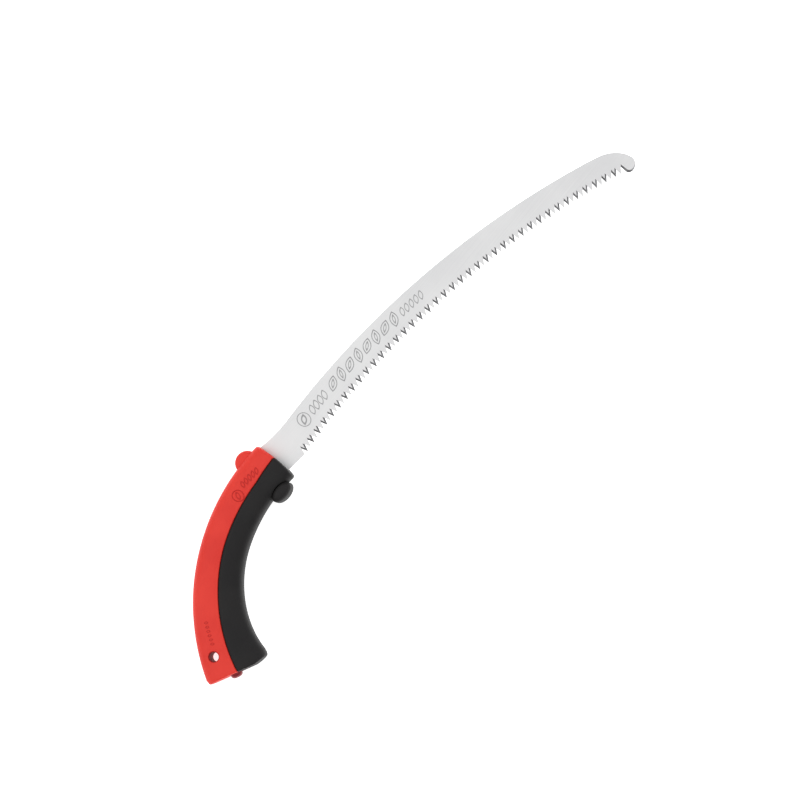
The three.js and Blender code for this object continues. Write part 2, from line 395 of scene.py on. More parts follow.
SLOTS = {
    Finish.RED: "red_rubber", Finish.RED_MARK_PAINTED_SHADE: "red_rubber", Finish.BLACK: "black_rubber",
    Finish.BLADE: "blade_steel", Finish.ETCH: "blade_steel", Finish.NYLON: "core_nylon",
    Finish.CORE_PAINTED_LIGHT: "core_nylon", Finish.ZINC: "zinc_steel",
}
"""The record's material slot that each finish belongs to."""


class Paints:
    """Makes each finish's material once and hands it out."""

    def __init__(self) -> None:
        """Starts with no material made."""
        self.made: dict[Finish, bpy.types.Material] = {}

    def __getitem__(self, finish: Finish) -> bpy.types.Material:
        """The finish's material."""
        if finish not in self.made:
            self.made[finish] = finish.value.make()
        return self.made[finish]


# ---- mesh helpers --------------------------------------------------------------------------
def finish_piece(bm: Shape, name: str, paints: Sequence[bpy.types.Material],
                 crease: float = 34.0) -> Piece:
    """Turns a plan-millimetre bmesh into an object in the frame.

    Args:
        bm: the shape, which is freed.
        name: the object's name.
        paints: its materials, by slot.
        crease: edges sharper than this many degrees stay sharp.

    Returns:
        The object, at the origin.
    """
    bmesh.ops.translate(bm, verts=bm.verts, vec=(-MIDDLE[0], -MIDDLE[1], 0))
    bmesh.ops.scale(bm, verts=bm.verts, vec=(MM, MM, MM))
    mesh = bpy.data.meshes.new(name)
    bm.to_mesh(mesh)
    bm.free()
    made = bpy.data.objects.new(name, mesh)
    bpy.context.scene.collection.objects.link(made)
    for paint in paints:
        mesh.materials.append(paint)
    soften(mesh, crease)
    return made


def seat(piece: Piece, finish: Finish, body: str = "saw",
         node: str | None = None) -> Piece:
    """Lets a piece in place ride with a body, and hides the CAD node it is shown in place of.

    Args:
        piece: the piece, where it belongs.
        finish: its main finish.
        body: the body that carries it.
        node: the CAD node it is shown in place of, if any.

    Returns:
        The same piece.
    """
    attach(piece, body)
    SLOTS[finish]
    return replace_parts(piece, node) if node else piece


def soften(mesh: bpy.types.Mesh, crease: float) -> None:
    """Shades a mesh smooth, with its sharper edges kept sharp.

    Args:
        mesh: the mesh.
        crease: edges sharper than this many degrees stay sharp.
    """
    bm = bmesh.new()
    bm.from_mesh(mesh)
    for face in bm.faces:
        face.smooth = True
    for edge in bm.edges:
        edge.smooth = edge.is_manifold and edge.calc_face_angle(0.0) < math.radians(crease)
    bm.to_mesh(mesh)
    bm.free()


def sheet(columns: int, rows: int, shape: Callable[[int, int], Vector]) -> Shape:
    """A grid with every crossing put where a formula says, and its touching edges joined.

    Args:
        columns: the number of crossings round the shape.
        rows: the number of crossings along it.
        shape: the place of a crossing from its column and row.

    Returns:
        The closed shape, facing outwards.
    """
    bm = bmesh.new()
    bmesh.ops.create_grid(bm, x_segments=columns - 1, y_segments=rows - 1, size=1.0)
    for vert in bm.verts:
        column = round((vert.co.x + 1) / 2 * (columns - 1))
        row = round((vert.co.y + 1) / 2 * (rows - 1))
        vert.co = shape(column, row)
    close(bm)
    return bm


def close(bm: Shape) -> None:
    """Joins touching points, fills what is open and turns the faces outwards."""
    bmesh.ops.remove_doubles(bm, verts=bm.verts, dist=0.002)
    bmesh.ops.dissolve_degenerate(bm, edges=bm.edges, dist=0.0005)
    rims = [edge for edge in bm.edges if edge.is_boundary]
    if rims:
        bmesh.ops.holes_fill(bm, edges=rims, sides=0)
    bmesh.ops.recalc_face_normals(bm, faces=bm.faces)


def turned(profile: Sequence[Pair], steps: int = 48) -> Shape:
    """A shape turned on a lathe about +Z.

    Args:
        profile: radius and height pairs, starting and ending on the axis.
        steps: the number of facets round it.

    Returns:
        The closed shape.
    """
    bm = bmesh.new()
    line = [bm.verts.new((radius, 0, height)) for radius, height in profile]
    edges = [bm.edges.new(pair) for pair in zip(line, line[1:])]
    bmesh.ops.spin(bm, geom=line + edges, cent=(0, 0, 0), axis=(0, 0, 1), angle=math.tau,
                   steps=steps, use_merge=True)
    close(bm)
    return bm


def plate(outline: Sequence[Pair], low: float, high: float) -> Shape:
    """A flat plate with the given outline.

    Args:
        outline: the plan points, in order.
        low: the height of its underside.
        high: the height of its top.

    Returns:
        The closed plate.
    """
    bm = bmesh.new()
    rim = [bm.verts.new((x, y, high)) for x, y in outline]
    loop = [bm.edges.new(pair) for pair in zip(rim, rim[1:] + rim[:1])]
    top = bmesh.ops.edgeloop_fill(bm, edges=loop)["faces"]
    made = bmesh.ops.extrude_face_region(bm, geom=top, use_keep_orig=True)["geom"]
    lower = [item for item in made if isinstance(item, bmesh.types.BMVert)]
    bmesh.ops.translate(bm, verts=lower, vec=(0, 0, low - high))
    bmesh.ops.recalc_face_normals(bm, faces=bm.faces)
    return bm


def carve(piece: Piece, tools: Sequence[Piece], crease: float = 34.0) -> None:
    """Cuts the tools out of a piece for good, and removes them.

    Args:
        piece: the piece to cut.
        tools: the shapes to cut away.
        crease: edges sharper than this many degrees stay sharp.
    """
    for tool in tools:
        cut = piece.modifiers.new("cut", "BOOLEAN")
        cut.operation = "DIFFERENCE"
        cut.solver = "EXACT"
        cut.object = tool
    graph = bpy.context.evaluated_depsgraph_get()
    done = bpy.data.meshes.new_from_object(piece.evaluated_get(graph))
    piece.modifiers.clear()
    old = piece.data
    piece.data = done
    bpy.data.meshes.remove(old)
    done.name = piece.name
    for tool in tools:
        bpy.data.objects.remove(tool)
    soften(done, crease)


def bezier(p0: Pair, p1: Pair, p2: Pair, p3: Pair, count: int) -> list[Pair]:
    """Points on a cubic curve.

    Args:
        p0: the start.
        p1: the first handle.
        p2: the second handle.
        p3: the end.
        count: the number of points.

    Returns:
        The points, ends included.
    """
    points = []
    for i in range(count):
        t = i / (count - 1)
        weights = ((1 - t) ** 3, 3 * t * (1 - t) ** 2, 3 * t * t * (1 - t), t ** 3)
        points.append(tuple(sum(w * p[k] for w, p in zip(weights, (p0, p1, p2, p3)))
                            for k in (0, 1)))
    return points


def polar(centre: Pair, radius: float, turn: float, height: float) -> Vector:
    """A point at a radius and a turn in radians about a plan centre."""
    return Vector((centre[0] + radius * math.cos(turn), centre[1] + radius * math.sin(turn),
                   height))


def bulge(value: float, power: float) -> float:
    """A power that keeps the value's sign."""
    return math.copysign(abs(value) ** power, value)


def put_down(shape: Shape, at: Pair, height: float, name: str, paint: bpy.types.Material) -> Piece:
    """Finishes a shape that was drawn about the origin, at its plan place.

    Args:
        shape: the shape, which is freed.
        at: its plan place.
        height: how far it is raised.
        name: the piece's name.
        paint: its material.

    Returns:
        The piece.
    """
    bmesh.ops.translate(shape, verts=shape.verts, vec=(*at, height))
    return finish_piece(shape, name, [paint])


# ---- handle --------------------------------------------------------------------------------
class Side(Enum):
    """The two grips that share the handle."""

    BACK = 1
    FINGER = -1


@dataclass(frozen=True)
class HandleForm:
    """The handle as a section swept round the centre of its back edge.

    Angles are in degrees about the centre, from about 150 at the butt to about 84 at the head.
    """

    centre: Pair = (143.1, -81.1)
    rim: float = 163.6
    half: float = 12.5
    power: float = 3.5
    head_round: float = 1.9
    butt_round: float = 1.2
    head_x: float = 158.1
    head_bow: float = 1.2
    head_middle: float = 146.5
    head_reach: float = 17

    def back_r(self, angle: float) -> float:
        """Radius of the back edge, with the butt's corner rounded off."""
        taper = 0.03 * max(0.0, angle - 125)
        return self.rim - taper - 0.4 * max(0.0, angle - 148.1) ** 1.8

    def belly_r(self, angle: float) -> float:
        """Radius of the finger edge, which flares out to the butt's rounded corner."""
        flare = max(0.0, angle - 110) / 38
        return 129.6 - 14.5 * flare ** 2 - max(0.0, 96 - angle) * 0.05 + self.corner(angle)

    @staticmethod
    def corner(angle: float) -> float:
        """How far the finger corner of the butt is rounded in."""
        return 0.16 * max(0.0, angle - 146.5) ** 2

    def seam_r(self, angle: float) -> float:
        """Radius of the line between the two grips."""
        fall = max(0.0, angle - 112) / 37.5
        return 145.5 - 7.1 * fall ** 1.6 + max(0.0, 93 - angle) * 0.28

    def butt_angle(self, radius: float) -> float:
        """Angle of the butt's end at a radius; it curves in to the finger corner."""
        return 149.7 + (radius - 118) * 0.025 - 0.07 * max(0.0, 126 - radius) ** 1.3

    def head_angle(self, radius: float) -> float:
        """Angle of the head's end at a radius: a shallow curve, furthest out in the middle."""
        x = self.head_x - self.head_bow * ((radius - self.head_middle) / self.head_reach) ** 2
        return math.degrees(math.acos((x - self.centre[0]) / radius))

    def spot(self, radius: float, height: float, along: float, step: float = 0.0) -> Vector:
        """A point of the handle in plan millimetres.

        Args:
            radius: the distance from the centre.
            height: the height above the floor.
            along: 0 at the butt and 1 at the head.
            step: millimetres to go on from there, towards the head.

        Returns:
            The point.
        """
        first = self.butt_angle(radius)
        angle = first + (self.head_angle(radius) - first) * along - math.degrees(step / radius)
        return polar(self.centre, radius, math.radians(angle), height)

    @staticmethod
    def nominal(along: float) -> float:
        """Angle at the finger edge at a share of the handle's length."""
        return 149.7 - 65.0 * along

    def crown(self, radius: float, angle: float) -> float:
        """Height of the grip's upper surface at a radius and angle."""
        low, high = self.belly_r(angle), self.back_r(angle)
        share = min(1.0, abs(2 * (radius - low) / (high - low) - 1))
        return self.half + self.half * (1 - share ** self.power) ** (1 / self.power)


@dataclass
class Grip:
    """One of the two moulded grips: a D-shaped section with its flat at the seam."""

    form: HandleForm
    side: Side
    gap: float = 0.22
    lip: float = 0.75
    round_steps: int = 54
    rows: int = 120

    def ring(self, angle: float, inset: float) -> list[Pair]:
        """The section at an angle, as radius and height pairs.

        Args:
            angle: the section's angle in degrees.
            inset: how far its outer side is moved in.

        Returns:
            The closed section's points.
        """
        form = self.form
        low, high = form.belly_r(angle) + inset, form.back_r(angle) - inset
        middle, reach = (low + high) / 2, (high - low) / 2
        tall = form.half - inset
        seam = form.seam_r(angle) + self.side.value * (self.gap + self.lip)
        share = (seam - middle) / reach
        turn = math.acos(bulge(share, form.power / 2))
        sweep = -2 * turn if self.side is Side.BACK else math.tau - 2 * turn
        points = []
        for i in range(self.round_steps + 1):
            a = turn + sweep * i / self.round_steps
            x, z = math.cos(a), math.sin(a)
            points.append((middle + reach * bulge(x, 2 / form.power),
                           form.half + tall * bulge(z, 2 / form.power)))
        return points + self.seam_face(points[-1], points[0])

    def seam_face(self, lower: Pair, upper: Pair) -> list[Pair]:
        """The rounded lips and the flat between them.

        Args:
            lower: the end of the outer side, below.
            upper: its start, above.

        Returns:
            The points from below to above, closing the section.
        """
        inward = -self.side.value
        points = []
        for a in (30, 60, 90):
            sweep = math.radians(a)
            points.append((lower[0] + inward * self.lip * math.sin(sweep),
                           lower[1] + self.lip * (1 - math.cos(sweep))))
        for share in (0.25, 0.5, 0.75):
            rise = lower[1] + self.lip + (upper[1] - lower[1] - 2 * self.lip) * share
            points.append((lower[0] + inward * self.lip, rise))
        for a in (90, 60, 30):
            sweep = math.radians(a)
            points.append((upper[0] + inward * self.lip * math.sin(sweep),
                           upper[1] - self.lip * (1 - math.cos(sweep))))
        return points + [upper]

    def stations(self) -> list[tuple[float, float, float, float]]:
        """Every section's place: share along, step, inset and shrink."""
        margin = 0.02
        span = [margin + (1 - 2 * margin) * i / self.rows for i in range(self.rows + 1)]
        middle = [(v, 0.0, 0.0, 1.0) for v in span]
        head = [(1.0, -d, i, s) for _, d, i, s in reversed(self.cap(self.form.head_round))]
        return self.cap(self.form.butt_round) + middle + head

    @staticmethod
    def cap(edge: float) -> list[tuple[float, float, float, float]]:
        """The sections that close an end: a flat, then its rounded edge.

        Args:
            edge: the radius of the edge.

        Returns:
            Each section's share along, step, inset and shrink.
        """
        turns = [math.radians(90 - 15 * i) for i in range(7)]
        rounded = [(edge * (1 - math.sin(a)), edge * (1 - math.cos(a))) for a in turns]
        flat = [(0.0, 0.0, edge, shrink) for shrink in (0.0, 0.3, 0.6, 0.85)]
        return flat + [(0.0, step, inset, 1.0) for step, inset in rounded]

    def shape(self) -> Shape:
        """The whole grip before anything is cut from it."""
        stations = self.stations()
        form = self.form
        rings = []
        for along, _, inset, shrink in stations:
            ring = self.ring(form.nominal(along), inset)
            middle = (sum(p[0] for p in ring) / len(ring), form.half)
            rings.append([(middle[0] + (r - middle[0]) * shrink,
                           middle[1] + (z - middle[1]) * shrink) for r, z in ring])

        def place(column: int, row: int) -> Vector:
            """Where the grid's crossing goes."""
            along, step, _, _ = stations[row]
            radius, height = rings[row][column]
            return form.spot(radius, height, along, step)

        return sheet(len(rings[0]), len(stations), place)


@dataclass
class Handle:
    """Both grips, the stops by the blade, the tail plug and what is moulded on them."""

    paints: Paints
    form: HandleForm = HandleForm()
    wall: float = 4.2
    skin: float = 2.9
    butt_wall: float = 4.0
    head_wall: float = 1.0
    clear: float = 0.3
    hang: Pair = (20.1, 7.8)
    hang_r: float = 3.95
    recess_r: float = 5.2
    bolts: tuple[Pair, Pair] = ((137.0, 58.3), (102.0, 52.0))
    nub_at: Pair = (142.5, 79.6)
    nub_r: float = 9.0
    stop_at: Pair = (142.4, 46.2)
    stop_reach: Pair = (8.8, 5.0)
    plug_at: Pair = (20.7, -11.2)
    plug_r: float = 4.6
    plug_out: float = 3.2

    def build(self) -> list[Piece]:
        """Makes every piece of the handle.

        Returns:
            The pieces.
        """
        return [self.grip(Side.BACK), self.grip(Side.FINGER), self.rear_nub(),
                self.finger_stop(), self.tail_plug(), self.emblem(), self.size_marks()]

    def grip(self, side: Side) -> Piece:
        """One grip with its openings cut.

        Args:
            side: which grip.

        Returns:
            The finished piece.
        """
        back = side is Side.BACK
        name = "back_grip_moulding" if back else "front_grip_moulding"
        finish = Finish.RED if back else Finish.BLACK
        piece = finish_piece(Grip(self.form, side).shape(), name, [self.paints[finish]])
        if back:
            tools = [self.hang_tool(), self.nub_tool()]
        else:
            tools = [self.stop_tool(), *(self.recess_tool(at) for at in self.bolts)]
        carve(piece, tools + [self.plug_tool(), self.mouth_tool(), self.core_tool()])
        return seat(piece, finish, node="red_back_grip" if back else "black_front_grip")

    def core_tool(self) -> Piece:
        """The room for the rigid core.

        It follows the core's outline closely, but the core's CAD pieces cut into its walls in places.

        Returns:
            The shape to cut away.
        """
        form, grow = self.form, self.clear
        rows, turns = 60, 48
        squareness = 0.16

        def place(column: int, row: int) -> Vector:
            """Where the grid's crossing goes: a rounded box swept along the handle."""
            share = row / rows
            nominal = form.nominal(share)
            low = form.belly_r(nominal) - form.corner(nominal) / 2 + self.wall - grow
            high = form.back_r(nominal) - self.wall + grow
            a = math.tau * (column + 0.5) / turns
            x, z = math.cos(a), math.sin(a)
            radius = (low + high) / 2 + (high - low) / 2 * bulge(x, squareness)
            tall = form.half - self.skin + grow
            height = form.half + tall * bulge(z, squareness)
            step = (self.butt_wall - grow) * (1 - share) - self.head_wall * share
            return form.spot(radius, height, share, step)

        shape = sheet(turns + 1, rows + 1, place)
        return finish_piece(shape, "core_tool", [self.paints[Finish.NYLON]])

    def mouth_tool(self) -> Piece:
        """The slot at the head that the blade comes out of."""
        slot = [(155.6, 52.9), (162, 52.9), (162, 80.3), (155.6, 80.3)]
        half = 0.9
        shape = plate(slot, self.form.half - half, self.form.half + half)
        return finish_piece(shape, "mouth_tool", [self.paints[Finish.NYLON]])

    def butt_frame(self) -> Matrix:
        """Turns +Z of a turned shape to point out of the butt at the plug."""
        out = Vector((-0.399, -0.917, 0))
        place = Matrix.Translation((self.plug_at[0], self.plug_at[1], self.form.half))
        return place @ out.to_track_quat("Z", "Y").to_matrix().to_4x4()

    def plug_tool(self) -> Piece:
        """The hole for the tail plug."""
        r = self.plug_r + 0.15
        shape = turned([(0, -9.3), (r, -9.3), (r, -0.4), (r + 0.5, 0.3), (r + 0.5, 6), (0, 6)], 40)
        bmesh.ops.transform(shape, matrix=self.butt_frame(), verts=shape.verts)
        return finish_piece(shape, "plug_tool", [self.paints[Finish.NYLON]])

    def hang_tool(self) -> Piece:
        """The hanging hole, flared at both faces."""
        r, top, flare = self.hang_r, self.form.half, 1.1
        profile = [(0, -top - 2), (r + flare + 1, -top - 2), (r + flare, -top + 0.1)]
        turns = [math.radians(a) for a in (22, 45, 68, 90)]
        profile += [(r + flare * (1 - math.sin(a)), -top + 0.1 + flare * (1 - math.cos(a)))
                    for a in turns]
        mirrored = [(radius, -height) for radius, height in reversed(profile)]
        shape = turned(profile + mirrored, 64)
        return put_down(shape, self.hang, top, "hang_tool",
                        self.paints[Finish.NYLON])

    def recess_tool(self, at: Pair) -> Piece:
        """A bolt's recess in the side that faces the floor.

        Args:
            at: the bolt's plan place.

        Returns:
            The shape to cut away.
        """
        r = self.recess_r
        shape = turned([(0, -2), (r + 1.2, -2), (r + 1.2, 0), (r + 0.35, 0.35), (r, 1.1), (r, 9),
                        (0, 9)], 48)
        return put_down(shape, at, 0, "recess_tool",
                        self.paints[Finish.NYLON])

    def nub_tool(self) -> Piece:
        """The seat of the rear nub in the back grip."""
        r, tall = self.nub_r + 0.03, 7.03
        shape = turned([(0, -tall), (r, -tall), (r, tall), (0, tall)], 64)
        return put_down(shape, self.nub_at, self.form.half, "nub_tool",
                        self.paints[Finish.NYLON])

    def stop_tool(self) -> Piece:
        """The seat of the finger stop, a little flared at both faces."""
        shape = turned([(0, -14), (1.12, -14), (1.07, -11.9), (1.02, -11.2), (1.02, 11.2),
                        (1.07, 11.9), (1.12, 14), (0, 14)], 64)
        bmesh.ops.scale(shape, verts=shape.verts, vec=(*self.stop_reach, 1))
        return put_down(shape, self.stop_at, self.form.half, "stop_tool",
                        self.paints[Finish.NYLON])

    @staticmethod
    def button(reach: float, tall: float, edge: float, dome: float) -> Shape:
        """A turned button with rounded rims and slightly domed faces.

        Args:
            reach: its radius.
            tall: half its height.
            edge: the rounding of its rims.
            dome: how much its faces rise to the middle.

        Returns:
            The shape, about the origin.
        """
        profile = [(0, tall)]
        inner = reach - edge
        for share in (0.3, 0.6, 0.85):
            profile.append((inner * share, tall - dome * share ** 2))
        for a in range(0, 91, 15):
            turn = math.radians(a)
            profile.append((inner + edge * math.sin(turn),
                            tall - dome - edge * (1 - math.cos(turn))))
        lower = [(radius, -height) for radius, height in reversed(profile)]
        return turned(profile + lower, 72)

    def rear_nub(self) -> Piece:
        """The red rounded stop on the back."""
        shape = self.button(self.nub_r, 7.0, 3.2, 0.5)
        piece = put_down(shape, self.nub_at, self.form.half, "rear_nub_moulding",
                         self.paints[Finish.RED])
        carve(piece, [self.core_tool()])
        return seat(piece, Finish.RED, node="red_rear_nub")

    def finger_stop(self) -> Piece:
        """The black rounded stop in front of the first finger."""
        shape = self.button(7.4, 11.65, 4.2, 0.35)
        stretch = (self.stop_reach[0] / 7.4, self.stop_reach[1] / 7.4, 1)
        bmesh.ops.scale(shape, verts=shape.verts, vec=stretch)
        piece = put_down(shape, self.stop_at, self.form.half, "finger_stop_moulding",
                         self.paints[Finish.BLACK])
        carve(piece, [self.core_tool()])
        return seat(piece, Finish.BLACK, node="black_finger_stop")

    def tail_plug(self) -> Piece:
        """The glossy round plug that stands out of the butt."""
        r, out, edge = self.plug_r, self.plug_out, 2.8
        profile = [(0, -9), (r - 0.3, -9), (r, -8.6), (r, out - edge)]
        for a in (15, 30, 45, 60, 75, 90):
            turn = math.radians(a)
            profile.append((r - edge * (1 - math.cos(turn)), out - edge * (1 - math.sin(turn))))
        profile += [(r - edge - 0.3, out - 0.3), (0, out - 0.15)]
        shape = turned(profile, 56)
        bmesh.ops.transform(shape, matrix=self.butt_frame(), verts=shape.verts)
        piece = finish_piece(shape, "tail_plug_moulding", [self.paints[Finish.NYLON]])
        return seat(piece, Finish.NYLON, node="tail_plug")

    def raised(self, outline: Sequence[Pair], open_share: float,
               lift: float) -> Shape:
        """A moulded outline that follows the grip's crown.

        Args:
            outline: its outer edge, as arc length from the butt and radius pairs in millimetres.
            open_share: how large its opening is, against its outer edge.
            lift: how far it stands out.

        Returns:
            The closed shape.
        """
        shape = plate(outline, 0, 1)
        for share, level in ((0.96, 3), (open_share, 3), (0.96, 1)):
            for vert in narrow(shape, share):
                vert.co.z = level
        heights = {0: -0.4, 1: -0.05, 3: lift}
        for vert in shape.verts:
            length, radius = vert.co.x, vert.co.y
            angle = 150.4 - math.degrees(length / 150.0)
            height = self.form.crown(radius, angle) + heights[round(vert.co.z)]
            vert.co = polar(self.form.centre, radius, math.radians(angle), height)
        bmesh.ops.recalc_face_normals(shape, faces=shape.faces)
        return shape

    def marks(self, name: str, outlines: Iterable[tuple[list[Pair], float]],
              lift: float) -> Piece:
        """Several moulded outlines as one piece of the back grip, in a darker red that is painted
        shade on their relief.

        Args:
            name: the piece's name.
            outlines: their outer edges and how large their openings are.
            lift: how far they stand out.

        Returns:
            The piece.
        """
        whole = gather(self.raised(outline, share, lift) for outline, share in outlines)
        piece = finish_piece(whole, name, [self.paints[Finish.RED_MARK_PAINTED_SHADE]])
        return seat(piece, Finish.RED_MARK_PAINTED_SHADE)

    def emblem(self) -> Piece:
        """A plain moulded sprig by the head: a leaf in an oval, then slanted leaves."""
        return self.marks("grip_sprig", self.sprig_outlines(), 0.28)

    @staticmethod
    def sprig_outlines() -> Iterable[tuple[list[Pair], float]]:
        """The outlines of the moulded sprig and how large their openings are."""
        start, lane = 135.6, 151.0
        yield oval((start, lane), 4.3, 4.9), 0.88
        yield leaf((start, lane), 3.6, 1.7, 1.1), 0.64
        for i in range(5):
            at = (start + 8.6 + 3.4 * i, lane + 1.6 - 0.5 * i)
            yield leaf(at, 3.1, 1.5, 1.2 - 0.05 * i), 0.62

    def size_marks(self) -> Piece:
        """A row of small moulded lozenges by the hanging hole."""
        row = [(leaf((25.6 + 3.1 * i, 150.4 + 0.5 * i), 1.7, 1.05, math.pi / 2), 0.55)
               for i in range(6)]
        return self.marks("grip_tally", row, 0.2)


def narrow(shape: Shape, share: float) -> list[bmesh.types.BMVert]:
    """Puts a smaller copy of a plate's top face inside it.

    Args:
        shape: the plate.
        share: how large the copy is, against the face it is made from.

    Returns:
        The copy's points.
    """
    top = max(shape.faces, key=lambda face: (len(face.verts), face.calc_center_median().z))
    bmesh.ops.inset_region(shape, faces=[top], thickness=0.0)
    middle = sum((vert.co for vert in top.verts), Vector()) / len(top.verts)
    for vert in top.verts:
        vert.co = middle + (vert.co - middle) * share
    return list(top.verts)


def gather(shapes: Iterable[Shape]) -> Shape:
    """Puts several shapes into one, and frees them.

    Args:
        shapes: the shapes.

    Returns:
        The one that holds them all.
    """
    whole = bmesh.new()
    for shape in shapes:
        held = bpy.data.meshes.new("held")
        shape.to_mesh(held)
        shape.free()
        whole.from_mesh(held)
        bpy.data.meshes.remove(held)
    return whole


def oval(at: Pair, reach: float, width: float) -> list[Pair]:
    """An oval outline from its middle and its half axes."""
    turns = [math.tau * i / 24 for i in range(24)]
    return [(at[0] + reach * math.cos(a), at[1] + width * math.sin(a)) for a in turns]


def leaf(at: Pair, reach: float, width: float, turn: float, count: int = 8) -> list[Pair]:
    """A pointed leaf's outline.

    Args:
        at: its middle.
        reach: half its length.
        width: half its width.
        turn: its turn in radians.
        count: the number of points on each side.

    Returns:
        The outline.
    """
    shares = [math.cos(math.pi * i / count) for i in range(count)]
    side = [(reach * x, width * (1 - x * x)) for x in shares]
    shape = side + [(-x, -y) for x, y in side]
    c, s = math.cos(turn), math.sin(turn)
    return [(at[0] + x * c - y * s, at[1] + x * s + y * c) for x, y in shape]


# ---- blade ---------------------------------------------------------------------------------
@dataclass(frozen=True)
class ToothRow:
    """Long narrow pull-stroke teeth on an arc, ground on alternate sides."""

    centre: Pair = (218.5, -637.7)
    radius: float = 690.0
    first_x: float = 177.2
    pitch: float = 3.957
    count: int = 78
    depth: float = 5.1
    facet: float = 1.25
    lean: float = 0.11

    def point(self, along: float, deep: float) -> Pair:
        """A plan point from the arc length after the first tooth and the depth into the blade."""
        start = math.asin((self.first_x - self.centre[0]) / self.radius)
        angle = start + (along + deep * self.lean) / self.radius
        reach = self.radius + deep
        return (self.centre[0] + reach * math.sin(angle), self.centre[1] + reach * math.cos(angle))

    def edge(self, near: bool) -> list[Pair]:
        """The toothed edge on one face, from the heel to the nose.

        Args:
            near: True for the upper face.

        Returns:
            Gullet and tip points in turn, starting and ending with a gullet.
        """
        back_off = self.facet * 2 * self.depth / self.pitch
        root = self.depth + back_off / 2
        points = []
        for i in range(self.count + 1):
            ground = (i % 2 == 0) == near
            shift = self.facet / 2 if ground else -self.facet / 2
            points.append(self.point((i - 0.5) * self.pitch + shift, root))
            points.append(self.point(i * self.pitch, back_off if ground else 0.0))
        return points[:-1]


